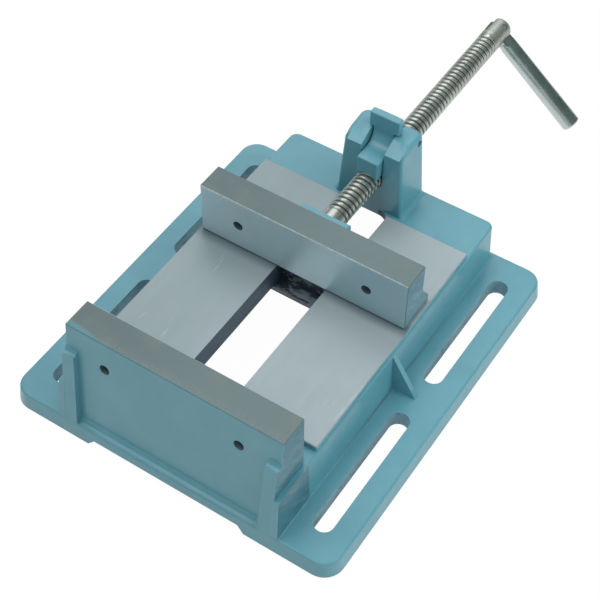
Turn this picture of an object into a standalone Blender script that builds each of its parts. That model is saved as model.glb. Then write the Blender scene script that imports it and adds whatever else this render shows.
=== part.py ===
# Drill press vise: a cast slotted base with a fixed jaw, a sliding jaw on two machined ways,
# a lead screw with a folding handle, and a hinged half nut between two cast ears.
#
# Lengths are in metres. The drawing frame has X across the jaws, Y from the fixed jaw's
# working face (Y = 0) towards the handle, and Z up from the table (Z = 0). One empty moves
# the drawing frame so that the part's own origin lies under the middle of its box.

import math

import bmesh
import bpy

# Jaws
JAW_WIDTH = 0.150
JAW_HEIGHT = 0.040
JAW_OPENING = 0.1112
JAW_HOLE_RADIUS = 0.0035
JAW_HOLE_OFFSET = 0.0468
JAW_HOLE_HEIGHT = 0.0195
MACHINED_BEVEL = 0.0005

# Heights of the base
WAY_HEIGHT = 0.048
WAY_RAISE = 0.0045
BAR_THICKNESS = 0.016
FLANGE_THICKNESS = 0.012
PLATFORM_THICKNESS = 0.005

# Lengths along the bed
RELIEF_WIDTH = 0.0105
WAY_REAR = 0.1865
EAR_SETBACK = 0.0055
EAR_DEPTH = 0.0302

# Widths of the bed
BED_LEDGE = 0.0027
BED_DRAFT = 0.0015
WAY_EDGE_INSET = 0.0009
BED_REAR_CORNER = 0.0055
BED_FRONT_CORNER = 0.0012
BED_EDGE_RADIUS = 0.0012
PLATFORM_SIDE_WALL = 0.0090
PLATFORM_REAR_WALL = 0.0062
REAR_DRAFT = 0.0019
CASTING_FILLET = 0.003
SINK = 0.0025

# Fixed jaw's wall and its two buttress ribs
WALL_TOP_THICKNESS = 0.0207
WALL_LEAN = 0.0093
WALL_FOOT_FILLET = 0.004
RIB_WIDTH_TOP = 0.0085
RIB_WIDTH_FOOT = 0.0097
RIB_TOP_HEIGHT = 0.020
RIB_TOP_REACH = 0.0270
RIB_SHOULDER = 0.0028
RIB_FOOT_REACH = 0.0345
RIB_PROUD = 0.0002
RECESS_MARGIN = 0.0012

# Flange with its four slots
FLANGE_REACH = 0.0386
FLANGE_TOE = 0.0003
FLANGE_REAR_TOE = 0.0042
FLANGE_DRAFT = 0.0014
FLANGE_CORNER = 0.012
FLANGE_RIM_RADIUS = 0.0016
SLOT_WIDTH = 0.013
SLOT_TO_BED = 0.018
SLOT_LENGTH = 0.0975
SLOT_FRONT_START = -0.0163
SLOT_REAR_START = 0.1099
GUSSET_THICKNESS = 0.0034
GUSSET_REACH = 0.0165
GUSSET_TOP_DROP = 0.0012
FRONT_RELIEF_HEIGHT = 0.005
REAR_RELIEF_HEIGHT = 0.0075
FOOT_RELIEF_HALF_WIDTH = 0.0525
FOOT_RELIEF_RAMP = 0.0045

# Opening between the ways and the hollow underneath
WAY_GAP_HALF = 0.018
GAP_FRONT = 0.004
GAP_FRONT_CORNER = 0.003
GAP_REAR_CORNER = 0.010
HOLLOW_FRONT_WALL = 0.0105
HOLLOW_CORNER = 0.006
HOLLOW_DRAFT = 0.0015
PLATFORM_HOLLOW_LEAD = 0.004

# Ears that carry the half nut
EAR_FOOT_HALF = 0.0243
EAR_TOP_HALF = 0.0225
EAR_HEIGHT = 0.054
EAR_FRONT_DRAFT = 0.0014
EAR_FRONT_TAPER = 0.0018
EAR_SLOPE_RISE = 0.0055
EAR_SLOPE_RUN = 0.0120
EAR_FRONT_CORNER = 0.0022
EAR_FOOT_CORNER = 0.0026
EAR_TOP_CORNER = 0.0062
EAR_REAR_DRAFT = 0.0016
EAR_SHOULDER = 0.0032

# Lead screw
SCREW_HEIGHT = 0.020
SCREW_RADIUS = 0.0080
SCREW_THREAD_END = 0.2438
SCREW_TIP_RADIUS = 0.0055
SCREW_TIP_DEPTH = 0.021
SCREW_GROOVE_RADIUS = 0.0038
SCREW_GROOVE_WIDTH = 0.0046
SCREW_HEAD_RADIUS = 0.0081
SCREW_HEAD_LENGTH = 0.0133
SCREW_DOME_LENGTH = 0.0052
SCREW_CHAMFER = 0.0012
HEAD_PIN_SETBACK = 0.0033
HEAD_SLOT_WIDTH = 0.006
HEAD_SLOT_DEPTH = 0.0092
HANDLE_ROLL = math.radians(38.9)

# Folding handle and its pin
HANDLE_RADIUS = 0.0062
HANDLE_TAPER = 0.0004
HANDLE_LENGTH = 0.0866
HANDLE_CHAMFER = 0.0012
TONGUE_HALF_WIDTH = 0.0054
TONGUE_SHOULDER = 0.0094
TONGUE_SLOPE = 0.0032
PIN_RADIUS = 0.002
PIN_RECESS = 0.0003

# Sliding jaw
SLIDING_JAW_THICKNESS = 0.020
JAW_FOOT_REACH = 0.0087
JAW_FOOT_LIP = 0.0056
JAW_FOOT_SLOPE_TOP = 0.018
BOSS_HALF_WIDTH = 0.0175
BOSS_HEIGHT = 0.033
BOSS_REACH = 0.009
BOSS_FILLET = 0.004
BOSS_RIM = 0.0008
KEEL_SETBACK = 0.006
KEEL_DEPTH = 0.0226
RETAINING_PIN_SETBACK = 0.0062
RETAINING_PIN_LENGTH = 0.0252
RETAINING_PIN_SUNK = 0.0005

# Keeper plate under the ways, and its bolts
KEEPER_HALF_WIDTH = 0.032
KEEPER_FORWARD = 0.0035
KEEPER_DEPTH = 0.0315
KEEPER_THICKNESS = 0.004
KEEPER_CORNER = 0.002
BOLT_SPACING = 0.020
BOLT_RADIUS = 0.004
BOLT_GRIP = 0.012
BOLT_HEAD_FLATS = 0.013
BOLT_HEAD_HEIGHT = 0.0053
BOLT_HEAD_CHAMFER = 0.0008
WASHER_RADIUS = 0.008
WASHER_THICKNESS = 0.0016

# Half nut lever
NUT_FRONT_LEAD = 0.005
NUT_FOOT_RISE = 0.0053
NUT_TOP_RISE = 0.0197
NUT_NECK_RADIUS = 0.0088
NUT_EDGE = 0.0010
TAB_HALF_WIDTH = 0.0109
TAB_RISE = 0.0122
TAB_THICKNESS = 0.0055
TAB_FORWARD = 0.0076
TAB_CLEARANCE = 0.0008
TAB_EDGE = 0.0010
PIVOT_FROM_REAR = 0.0083
PIVOT_FROM_TOP = 0.0047
PIVOT_BOSS_RADIUS = 0.0052
PIVOT_PIN_SUNK = 0.0015
NUT_TAIL_RUN = 0.019

# Fits
GAP = 0.0003
CRADLE_CLEARANCE = 0.0005
NUT_SIDE_CLEARANCE = 0.0007
OVERRUN = 0.010

# Fineness of round forms
CORNER_STEPS = 8
ARC_STEPS = 8
RIM_STEPS = 4
ROUND_STEPS = 32
HOLE_STEPS = 20
DOME_STEPS = 7
HEX_SIDES = 6
SMOOTH_ANGLE = math.radians(26.0)

# Values worked out from the sizes above
BED_TOP = WAY_HEIGHT - WAY_RAISE
BAR_UNDERSIDE = WAY_HEIGHT - BAR_THICKNESS
PLATFORM_UNDERSIDE = BED_TOP - PLATFORM_THICKNESS
JAW_TOP = WAY_HEIGHT + JAW_HEIGHT
JAW_HALF = JAW_WIDTH / 2
BED_HALF = JAW_HALF + BED_LEDGE
WAY_HALF = BED_HALF - WAY_EDGE_INSET
EAR_FRONT = WAY_REAR + EAR_SETBACK
EAR_REAR = EAR_FRONT + EAR_DEPTH
EAR_TOP = BED_TOP + EAR_HEIGHT
EAR_FACET_FOOT = EAR_TOP - EAR_SLOPE_RISE
BED_REAR = EAR_REAR + BED_EDGE_RADIUS / 2
FLANGE_HALF = BED_HALF + FLANGE_REACH
FLANGE_FRONT = -RIB_FOOT_REACH - FLANGE_TOE
FLANGE_REAR = BED_REAR + FLANGE_REAR_TOE
SCREW_Z = WAY_HEIGHT + SCREW_HEIGHT
CRADLE_RADIUS = SCREW_RADIUS + CRADLE_CLEARANCE
NUT_HALF = CRADLE_RADIUS - NUT_SIDE_CLEARANCE
BORE_RADIUS = PIN_RADIUS + GAP
PIVOT_Y = EAR_REAR - PIVOT_FROM_REAR
PIVOT_Z = EAR_TOP - PIVOT_FROM_TOP
JAW_FOOT_REAR = SLIDING_JAW_THICKNESS + JAW_FOOT_REACH
BOSS_REAR = SLIDING_JAW_THICKNESS + BOSS_REACH
HEAD_CENTRE = SCREW_THREAD_END + SCREW_HEAD_LENGTH
HEAD_PIN = HEAD_CENTRE - HEAD_PIN_SETBACK
HEAD_END = HEAD_CENTRE + SCREW_DOME_LENGTH
TONGUE_HALF_THICKNESS = HEAD_SLOT_WIDTH / 2 - GAP
TAB_TOP = EAR_TOP + TAB_RISE
KEEPER_TOP = BAR_UNDERSIDE - GAP
KEEPER_BOTTOM = KEEPER_TOP - KEEPER_THICKNESS
PART_FRONT = FLANGE_FRONT - FLANGE_DRAFT
HEAD_TIP_SHARE = math.sqrt(1 - (HEAD_SLOT_WIDTH / 2 / SCREW_HEAD_RADIUS) ** 2)
PART_REAR = JAW_OPENING + HEAD_CENTRE + SCREW_DOME_LENGTH * HEAD_TIP_SHARE
PART_MIDDLE = (PART_FRONT + PART_REAR) / 2


# Scene and materials


def clear_scene():
    for item in list(bpy.data.objects):
        bpy.data.objects.remove(item, do_unlink=True)


def make_material(name, colour, roughness, metallic):
    material = bpy.data.materials.new(name)
    material.use_nodes = True
    shader = material.node_tree.nodes["Principled BSDF"]
    shader.inputs["Base Color"].default_value = (*colour, 1.0)
    shader.inputs["Roughness"].default_value = roughness
    shader.inputs["Metallic"].default_value = metallic
    material.diffuse_color = (*colour, 1.0)
    return material


# Outlines and lofts


def arc(centre, radius, start, end, steps):
    """Points of an arc, from one angle to the other in degrees, ends included."""
    points = []
    for step in range(steps + 1):
        angle = math.radians(start + (end - start) * step / steps)
        points.append((centre[0] + radius * math.cos(angle), centre[1] + radius * math.sin(angle)))
    return points


def circle(radius, steps, centre=(0.0, 0.0)):
    """Points of a full circle, the first one not repeated."""
    return arc(centre, radius, 0, 360, steps)[:-1]


def rounded_outline(half_width, front, rear, front_radius, rear_radius):
    """A rectangle seen from above, with its own corner radius at the front and at the rear."""
    corners = (
        (half_width - front_radius, front + front_radius, front_radius, -90),
        (half_width - rear_radius, rear - rear_radius, rear_radius, 0),
        (rear_radius - half_width, rear - rear_radius, rear_radius, 90),
        (front_radius - half_width, front + front_radius, front_radius, 180),
    )
    points = []
    for x, y, radius, start in corners:
        points += arc((x, y), radius, start, start + 90, CORNER_STEPS)
    return points


def stadium(x, half_width, start, end):
    """A slot seen from above: two half circles joined by straight sides."""
    rear = arc((x, end - half_width), half_width, 0, 180, 2 * ARC_STEPS)
    front = arc((x, start + half_width), half_width, 180, 360, 2 * ARC_STEPS)
    return rear + front


def box_outline(low_u, high_u, low_v, high_v):
    return [(low_u, low_v), (high_u, low_v), (high_u, high_v), (low_u, high_v)]


def place(point, along, axis):
    """A point of an outline, set at a place along X, Y or Z."""
    u, v = point
    if axis == "X":
        return (along, u, v)
    if axis == "Y":
        return (u, along, v)
    return (u, v, along)


def loft(rings, axis):
    """A closed solid through rings of as many points, each an outline and its place along the axis.

    A place is one value, or a function of the point where a side leans."""
    shape = bmesh.new()
    loops = []
    for outline, along in rings:
        leaning = callable(along)
        loops.append([shape.verts.new(place(p, along(p) if leaning else along, axis)) for p in outline])
    count = len(loops[0])
    for near, far in zip(loops, loops[1:]):
        for i in range(count):
            j = (i + 1) % count
            shape.faces.new((near[i], near[j], far[j], far[i]))
    shape.faces.new(list(reversed(loops[0])))
    shape.faces.new(loops[-1])
    bmesh.ops.remove_doubles(shape, verts=shape.verts, dist=SINK / 10000)
    bmesh.ops.recalc_face_normals(shape, faces=shape.faces)
    return shape


def prism(outline, start, end, axis):
    return loft([(outline, start), (outline, end)], axis)


def turned(profile, steps):
    """A solid of revolution about Y, from (radius, place along Y) pairs."""
    return loft([(circle(radius, steps), along) for radius, along in profile], "Y")


def bevel_sharp(shape, width, segments):
    """Round or chamfer every sharp edge of a shape."""
    sharp = [edge for edge in shape.edges if edge.calc_face_angle(0.0) > SMOOTH_ANGLE]
    bmesh.ops.bevel(shape, geom=sharp, offset=width, segments=segments, profile=0.5, affect="EDGES")
    return shape


# Objects


def add_empty(name, location, parent=None, turn=0.0):
    empty = bpy.data.objects.new(name, None)
    empty.location = location
    empty.rotation_euler = (0.0, turn, 0.0)
    empty.parent = parent
    bpy.context.scene.collection.objects.link(empty)
    return empty


def add_object(name, shape, parent, material=None, location=(0.0, 0.0, 0.0)):
    mesh = bpy.data.meshes.new(name)
    shape.to_mesh(mesh)
    shape.free()
    mesh.shade_smooth()
    mesh.set_sharp_from_angle(angle=SMOOTH_ANGLE)
    if material:
        mesh.materials.append(material)
    item = bpy.data.objects.new(name, mesh)
    item.location = location
    item.parent = parent
    bpy.context.scene.collection.objects.link(item)
    return item


def combine(target, name, shape, operation):
    """Add a shape to an object, or cut it out, with a Boolean whose tool stays hidden."""
    tool = add_object(f"{target.name}.{name}", shape, target)
    tool.hide_render = True
    tool.display_type = "WIRE"
    modifier = target.modifiers.new(name, "BOOLEAN")
    modifier.operation = operation
    modifier.solver = "EXACT"
    modifier.object = tool


def add(target, name, shape):
    combine(target, name, shape, "UNION")


def cut(target, name, shape):
    combine(target, name, shape, "DIFFERENCE")


# Base casting


def wall_y(height):
    """The fixed jaw's leaning front face, at a height above the table."""
    drop = (JAW_TOP - height) / (JAW_TOP - FLANGE_THICKNESS)
    return -WALL_TOP_THICKNESS - WALL_LEAN * drop


def rib_y(height):
    """The sloping front of the buttress ribs, at a height above the table."""
    top = WAY_HEIGHT + RIB_TOP_HEIGHT
    fall = (top - height) / (top - FLANGE_THICKNESS)
    return -RIB_TOP_REACH - (RIB_FOOT_REACH - RIB_TOP_REACH) * fall


def rib_inner(height):
    """The ribs' inner side, which leans so that the rib is wider at its foot."""
    top = WAY_HEIGHT + RIB_TOP_HEIGHT
    fall = (top - height) / (top - FLANGE_THICKNESS)
    return JAW_HALF - RIB_WIDTH_TOP - (RIB_WIDTH_FOOT - RIB_WIDTH_TOP) * fall


def bed_half(height):
    """Half the bed's width, which grows downwards by its draft."""
    return BED_HALF + BED_DRAFT * (BED_TOP - height) / (BED_TOP - FLANGE_THICKNESS)


def bed_rear(height):
    return BED_REAR + REAR_DRAFT * (BED_TOP - height) / (BED_TOP - FLANGE_THICKNESS)


def bed_ring(height, flare=0.0, inset=0.0):
    outline = rounded_outline(
        bed_half(height) + flare - inset,
        rib_y(height) + RIB_PROUD + inset,
        bed_rear(height) - inset,
        BED_FRONT_CORNER,
        BED_REAR_CORNER,
    )
    return (outline, height)


def bed_block():
    """The bed: flared foot, drafted walls and a rounded upper edge."""
    rings = [bed_ring(FLANGE_THICKNESS - SINK, flare=CASTING_FILLET)]
    for step in range(RIM_STEPS + 2):
        angle = math.radians(90 * step / (RIM_STEPS + 1))
        rise = CASTING_FILLET * (1 - math.cos(angle))
        flare = CASTING_FILLET * (1 - math.sin(angle))
        rings.append(bed_ring(FLANGE_THICKNESS + rise, flare=flare))
    for step in range(RIM_STEPS + 1):
        angle = math.radians(90 * step / RIM_STEPS)
        rise = BED_EDGE_RADIUS * math.sin(angle)
        inset = BED_EDGE_RADIUS * (1 - math.cos(angle))
        rings.append(bed_ring(BED_TOP - BED_EDGE_RADIUS + rise, inset=inset))
    return loft(rings, "Z")


def flange_ring(height, inset):
    outline = rounded_outline(
        FLANGE_HALF - inset,
        FLANGE_FRONT + inset,
        FLANGE_REAR - inset,
        FLANGE_CORNER - inset,
        FLANGE_CORNER - inset,
    )
    return (outline, height)


def flange():
    """The slotted flange's plate, drafted and with a rounded upper rim."""
    rings = [flange_ring(0.0, -FLANGE_DRAFT)]
    for step in range(RIM_STEPS + 2):
        angle = math.radians(90 * step / (RIM_STEPS + 1))
        rise = FLANGE_RIM_RADIUS * math.sin(angle)
        inset = FLANGE_RIM_RADIUS * (1 - math.cos(angle))
        rings.append(flange_ring(FLANGE_THICKNESS - FLANGE_RIM_RADIUS + rise, inset))
    return loft(rings, "Z")


def fixed_jaw_wall():
    """The fixed jaw with its leaning wall, down into the flange."""
    foot = FLANGE_THICKNESS - SINK
    outline = [(0.0, foot), (0.0, JAW_TOP), (wall_y(JAW_TOP), JAW_TOP), (wall_y(foot), foot)]
    return bevel_sharp(prism(outline, -JAW_HALF, JAW_HALF, "X"), MACHINED_BEVEL, 1)


def rib(side):
    """One buttress rib, with a hollow shoulder where it leaves the jaw's wall."""
    foot = FLANGE_THICKNESS - SINK
    top = WAY_HEIGHT + RIB_TOP_HEIGHT
    inside = -WALL_TOP_THICKNESS / 2
    centre = (wall_y(top) - RIB_SHOULDER, top + RIB_SHOULDER)
    hollow = arc(centre, RIB_SHOULDER, -90, 0, ARC_STEPS)
    outline = [(inside, foot), (rib_y(foot), foot), (rib_y(top), top)] + hollow
    outline.append((inside, top + RIB_SHOULDER))
    return loft([(outline, lambda p: side * rib_inner(p[1])), (outline, side * JAW_HALF)], "X")


def wall_foot():
    """The hollow fillet at the foot of the wall, between the ribs."""
    height = FLANGE_THICKNESS + WALL_FOOT_FILLET
    centre = (wall_y(height) - WALL_FOOT_FILLET, height)
    inside = wall_y(height) + SINK
    foot = FLANGE_THICKNESS - SINK
    hollow = arc(centre, WALL_FOOT_FILLET, -90, 0, ARC_STEPS)
    outline = [(inside, foot), (hollow[0][0], foot)] + hollow + [(inside, height)]
    half = rib_inner(FLANGE_THICKNESS) + SINK
    return prism(outline, -half, half, "X")


def ear_front(height):
    """The ears' drafted front, and above it the facet that slopes back to their flat top."""
    rise = min(height, EAR_FACET_FOOT) - BED_TOP
    drafted = EAR_FRONT + EAR_FRONT_DRAFT * rise / (EAR_FACET_FOOT - BED_TOP)
    climb = max(height - EAR_FACET_FOOT, 0.0) / EAR_SLOPE_RISE
    return drafted + (EAR_SLOPE_RUN - EAR_FRONT_DRAFT) * climb


def ear_ring(height, flare=0.0, inset=0.0):
    """The ears' outline at one height: the higher, the narrower at the front, the rounder at the rear."""
    share = (height - BED_TOP) / EAR_HEIGHT
    half = EAR_FOOT_HALF + (EAR_TOP_HALF - EAR_FOOT_HALF) * share + flare - inset
    rear = EAR_REAR - EAR_REAR_DRAFT * share
    corner = EAR_FOOT_CORNER + (EAR_TOP_CORNER - EAR_FOOT_CORNER) * share - inset
    outline = rounded_outline(half, ear_front(height), rear - inset, EAR_FRONT_CORNER, corner)
    taper = EAR_FRONT_TAPER * share / half
    return ([(x * (1 - taper * (rear - y) / EAR_DEPTH), y) for x, y in outline], height)


def ears():
    """The block of the two ears: flared foot, drafted sides, sloped front facet, rounded shoulders."""
    rings = [ear_ring(BED_TOP - SINK, flare=CASTING_FILLET)]
    for step in range(RIM_STEPS + 2):
        angle = math.radians(90 * step / (RIM_STEPS + 1))
        rise = CASTING_FILLET * (1 - math.cos(angle))
        flare = CASTING_FILLET * (1 - math.sin(angle))
        rings.append(ear_ring(BED_TOP + rise, flare=flare))
    rings.append(ear_ring(EAR_FACET_FOOT))
    for step in range(RIM_STEPS + 1):
        angle = math.radians(90 * step / RIM_STEPS)
        rise = EAR_SHOULDER * math.sin(angle)
        inset = EAR_SHOULDER * (1 - math.cos(angle))
        rings.append(ear_ring(EAR_TOP - EAR_SHOULDER + rise, inset=inset))
    return loft(rings, "Z")


def gusset(side):
    """The triangular web from the bed's side down to the flange, between two slots."""
    top = BED_TOP - GUSSET_TOP_DROP
    inner = bed_half(top) - SINK
    outline = [
        (side * inner, FLANGE_THICKNESS - SINK),
        (side * (bed_half(FLANGE_THICKNESS) + GUSSET_REACH), FLANGE_THICKNESS - SINK),
        (side * (bed_half(FLANGE_THICKNESS) + GUSSET_REACH), FLANGE_THICKNESS),
        (side * bed_half(top), top),
        (side * inner, top),
    ]
    middle = (SLOT_FRONT_START + SLOT_REAR_START + SLOT_LENGTH) / 2
    return prism(outline, middle - GUSSET_THICKNESS / 2, middle + GUSSET_THICKNESS / 2, "Y")


def way_pad():
    """The raised, machined strip that the gap later divides into two ways."""
    outline = box_outline(-WAY_HALF, WAY_HALF, RELIEF_WIDTH, WAY_REAR)
    pad = prism(outline, BED_TOP - SINK, WAY_HEIGHT, "Z")
    return bevel_sharp(pad, MACHINED_BEVEL, 1)


def way_gap():
    """The opening between the ways, through which the sliding jaw's keel runs."""
    outline = rounded_outline(WAY_GAP_HALF, GAP_FRONT, EAR_FRONT, GAP_FRONT_CORNER, GAP_REAR_CORNER)
    return prism(outline, BAR_UNDERSIDE - OVERRUN, WAY_HEIGHT + OVERRUN, "Z")


def hollow():
    """The space under the ways, open at the bottom."""
    rings = []
    for height, lean in ((-OVERRUN, HOLLOW_DRAFT), (BAR_UNDERSIDE, 0.0)):
        outline = rounded_outline(
            BED_HALF - PLATFORM_SIDE_WALL + lean,
            wall_y(BAR_UNDERSIDE) + HOLLOW_FRONT_WALL - lean,
            BED_REAR - PLATFORM_REAR_WALL + lean,
            HOLLOW_CORNER,
            HOLLOW_CORNER,
        )
        rings.append((outline, height))
    return loft(rings, "Z")


def platform_hollow():
    """The step up of that space under the thinner rear platform."""
    outline = rounded_outline(
        BED_HALF - PLATFORM_SIDE_WALL - HOLLOW_DRAFT,
        EAR_FRONT - PLATFORM_HOLLOW_LEAD,
        BED_REAR - PLATFORM_REAR_WALL - HOLLOW_DRAFT,
        GAP_FRONT_CORNER,
        HOLLOW_CORNER,
    )
    return prism(outline, BAR_UNDERSIDE - SINK, PLATFORM_UNDERSIDE, "Z")


def flange_slot(side, start):
    x = side * (BED_HALF + SLOT_TO_BED)
    outline = stadium(x, SLOT_WIDTH / 2, start, start + SLOT_LENGTH)
    return prism(outline, -OVERRUN, FLANGE_THICKNESS + OVERRUN, "Z")


def foot_relief(start, end, height):
    """The shallow relief under the front or rear rim, so that the base stands on its ends."""
    wide = FOOT_RELIEF_HALF_WIDTH + FOOT_RELIEF_RAMP
    outline = [
        (-wide - FOOT_RELIEF_RAMP, -height),
        (wide + FOOT_RELIEF_RAMP, -height),
        (FOOT_RELIEF_HALF_WIDTH, height),
        (-FOOT_RELIEF_HALF_WIDTH, height),
    ]
    return prism(outline, start, end, "Y")


def screw_cradle():
    """The U-shaped channel between the ears: the screw lies in it and the half nut above."""
    outline = arc((0.0, SCREW_Z), CRADLE_RADIUS, -180, 0, 2 * CORNER_STEPS)
    outline += [(CRADLE_RADIUS, EAR_TOP + OVERRUN), (-CRADLE_RADIUS, EAR_TOP + OVERRUN)]
    return prism(outline, EAR_FRONT - OVERRUN, EAR_REAR + OVERRUN, "Y")


def jaw_holes(target, height, start, end):
    for name, side in (("left", -1), ("right", 1)):
        hole = circle(JAW_HOLE_RADIUS, HOLE_STEPS, (side * JAW_HOLE_OFFSET, height))
        cut(target, f"jaw_hole_{name}", prism(hole, start, end, "Y"))


def build_base(parent, paint):
    base = add_object("base_casting", bed_block(), parent, paint)
    recess_half = rib_inner(FLANGE_THICKNESS) + RECESS_MARGIN
    recess_rear = wall_y(BED_TOP) + RECESS_MARGIN
    recess = box_outline(-recess_half, recess_half, -RIB_FOOT_REACH - OVERRUN, recess_rear)
    cut(base, "recess", prism(recess, -OVERRUN, BED_TOP + OVERRUN, "Z"))
    add(base, "flange", flange())
    add(base, "fixed_jaw", fixed_jaw_wall())
    add(base, "wall_foot", wall_foot())
    for name, side in (("left", -1), ("right", 1)):
        add(base, f"rib_{name}", rib(side))
        add(base, f"gusset_{name}", gusset(side))
    add(base, "way_pad", way_pad())
    add(base, "ears", ears())
    cut(base, "way_gap", way_gap())
    cut(base, "hollow", hollow())
    cut(base, "platform_hollow", platform_hollow())
    for name, side in (("left", -1), ("right", 1)):
        cut(base, f"slot_front_{name}", flange_slot(side, SLOT_FRONT_START))
        cut(base, f"slot_rear_{name}", flange_slot(side, SLOT_REAR_START))
    cut(base, "front_relief", foot_relief(FLANGE_FRONT - OVERRUN, 0.0, FRONT_RELIEF_HEIGHT))
    cut(base, "rear_relief", foot_relief(EAR_FRONT, FLANGE_REAR + OVERRUN, REAR_RELIEF_HEIGHT))
    cut(base, "cradle", screw_cradle())
    bore = circle(BORE_RADIUS, HOLE_STEPS, (PIVOT_Y, PIVOT_Z))
    cut(base, "pivot_bore", prism(bore, -EAR_FOOT_HALF - OVERRUN, EAR_FOOT_HALF + OVERRUN, "X"))
    jaw_holes(base, WAY_HEIGHT + JAW_HOLE_HEIGHT, -RIB_FOOT_REACH - OVERRUN, OVERRUN)
    return base


# Sliding jaw and what is fixed to it; their Y counts from the jaw's working face


def jaw_block():
    """The jaw's bar with the lip that widens its foot at the rear."""
    foot = WAY_HEIGHT + GAP
    outline = [
        (0.0, foot),
        (JAW_FOOT_REAR, foot),
        (JAW_FOOT_REAR, WAY_HEIGHT + JAW_FOOT_LIP),
        (SLIDING_JAW_THICKNESS, WAY_HEIGHT + JAW_FOOT_SLOPE_TOP),
        (SLIDING_JAW_THICKNESS, JAW_TOP),
        (0.0, JAW_TOP),
    ]
    return bevel_sharp(prism(outline, -JAW_HALF, JAW_HALF, "X"), MACHINED_BEVEL, 1)


def screw_boss():
    """The boss behind the jaw that takes the screw's tip, filleted into the bar."""
    inside = SLIDING_JAW_THICKNESS - SINK
    centre_x = BOSS_HALF_WIDTH + BOSS_FILLET
    centre_y = SLIDING_JAW_THICKNESS + BOSS_FILLET
    right = arc((centre_x, centre_y), BOSS_FILLET, 270, 180, ARC_STEPS)
    left = [(-x, y) for x, y in reversed(right)]
    outline = [(-centre_x, inside), (centre_x, inside)] + right
    outline += [(BOSS_HALF_WIDTH, BOSS_REAR), (-BOSS_HALF_WIDTH, BOSS_REAR)] + left
    inset = [(x * (1 - BOSS_RIM / BOSS_HALF_WIDTH), min(y, BOSS_REAR - BOSS_RIM)) for x, y in outline]
    top = WAY_HEIGHT + BOSS_HEIGHT
    return loft([(outline, WAY_HEIGHT + GAP + SINK), (outline, top - BOSS_RIM), (inset, top)], "Z")


def build_sliding_jaw(parent, paint):
    jaw = add_object("sliding_jaw", jaw_block(), parent, paint)
    add(jaw, "boss", screw_boss())
    keel_half = WAY_GAP_HALF - GAP
    keel = box_outline(-keel_half, keel_half, KEEL_SETBACK, KEEL_SETBACK + KEEL_DEPTH)
    add(jaw, "keel", prism(keel, KEEPER_TOP + GAP, WAY_HEIGHT + GAP + SINK, "Z"))
    tip_bore = circle(SCREW_TIP_RADIUS + GAP, ROUND_STEPS, (0.0, SCREW_Z))
    cut(jaw, "tip_bore", prism(tip_bore, BOSS_REAR - SCREW_TIP_DEPTH - GAP, BOSS_REAR + OVERRUN, "Y"))
    for name, side in (("left", -1), ("right", 1)):
        centre = (side * retaining_pin_offset(), BOSS_REAR - RETAINING_PIN_SETBACK)
        bore = circle(BORE_RADIUS, HOLE_STEPS, centre)
        low = retaining_pin_foot() - GAP
        cut(jaw, f"pin_bore_{name}", prism(bore, low, WAY_HEIGHT + BOSS_HEIGHT + OVERRUN, "Z"))
        thread = circle(BOLT_RADIUS + GAP, HOLE_STEPS, bolt_place(side))
        top = KEEPER_TOP + BOLT_GRIP + GAP
        cut(jaw, f"bolt_bore_{name}", prism(thread, KEEPER_TOP - OVERRUN, top, "Z"))
    jaw_holes(jaw, WAY_HEIGHT + JAW_HOLE_HEIGHT, -OVERRUN, SLIDING_JAW_THICKNESS + OVERRUN)
    return jaw


def retaining_pin_offset():
    """The pins pass beside the screw tip's groove, which they keep from sliding out."""
    return SCREW_GROOVE_RADIUS + GAP + PIN_RADIUS


def retaining_pin_foot():
    return WAY_HEIGHT + BOSS_HEIGHT - RETAINING_PIN_SUNK - RETAINING_PIN_LENGTH


def build_retaining_pin(parent, steel, name, side):
    centre = (side * retaining_pin_offset(), BOSS_REAR - RETAINING_PIN_SETBACK)
    low = retaining_pin_foot()
    pin = prism(circle(PIN_RADIUS, HOLE_STEPS, centre), low, low + RETAINING_PIN_LENGTH, "Z")
    add_object(f"screw_retaining_pin_{name}", pin, parent, steel)


def bolt_place(side):
    return (side * BOLT_SPACING / 2, KEEL_SETBACK + KEEL_DEPTH / 2)


def build_keeper(parent, steel):
    """The plate that hooks under both ways and holds the jaw down."""
    outline = rounded_outline(
        KEEPER_HALF_WIDTH, -KEEPER_FORWARD, KEEPER_DEPTH - KEEPER_FORWARD, KEEPER_CORNER, KEEPER_CORNER
    )
    keeper = add_object("keeper_plate", prism(outline, KEEPER_BOTTOM, KEEPER_TOP, "Z"), parent, steel)
    for name, side in (("left", -1), ("right", 1)):
        hole = circle(BOLT_RADIUS + GAP, HOLE_STEPS, bolt_place(side))
        cut(keeper, f"hole_{name}", prism(hole, KEEPER_BOTTOM - OVERRUN, KEEPER_TOP + OVERRUN, "Z"))


def build_washer(parent, steel, name, side):
    top = KEEPER_BOTTOM - GAP
    disc = prism(circle(WASHER_RADIUS, ROUND_STEPS, bolt_place(side)), top - WASHER_THICKNESS, top, "Z")
    washer = add_object(f"keeper_washer_{name}", disc, parent, steel)
    hole = circle(BOLT_RADIUS + GAP, HOLE_STEPS, bolt_place(side))
    cut(washer, "hole", prism(hole, top - OVERRUN, top + OVERRUN, "Z"))


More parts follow.
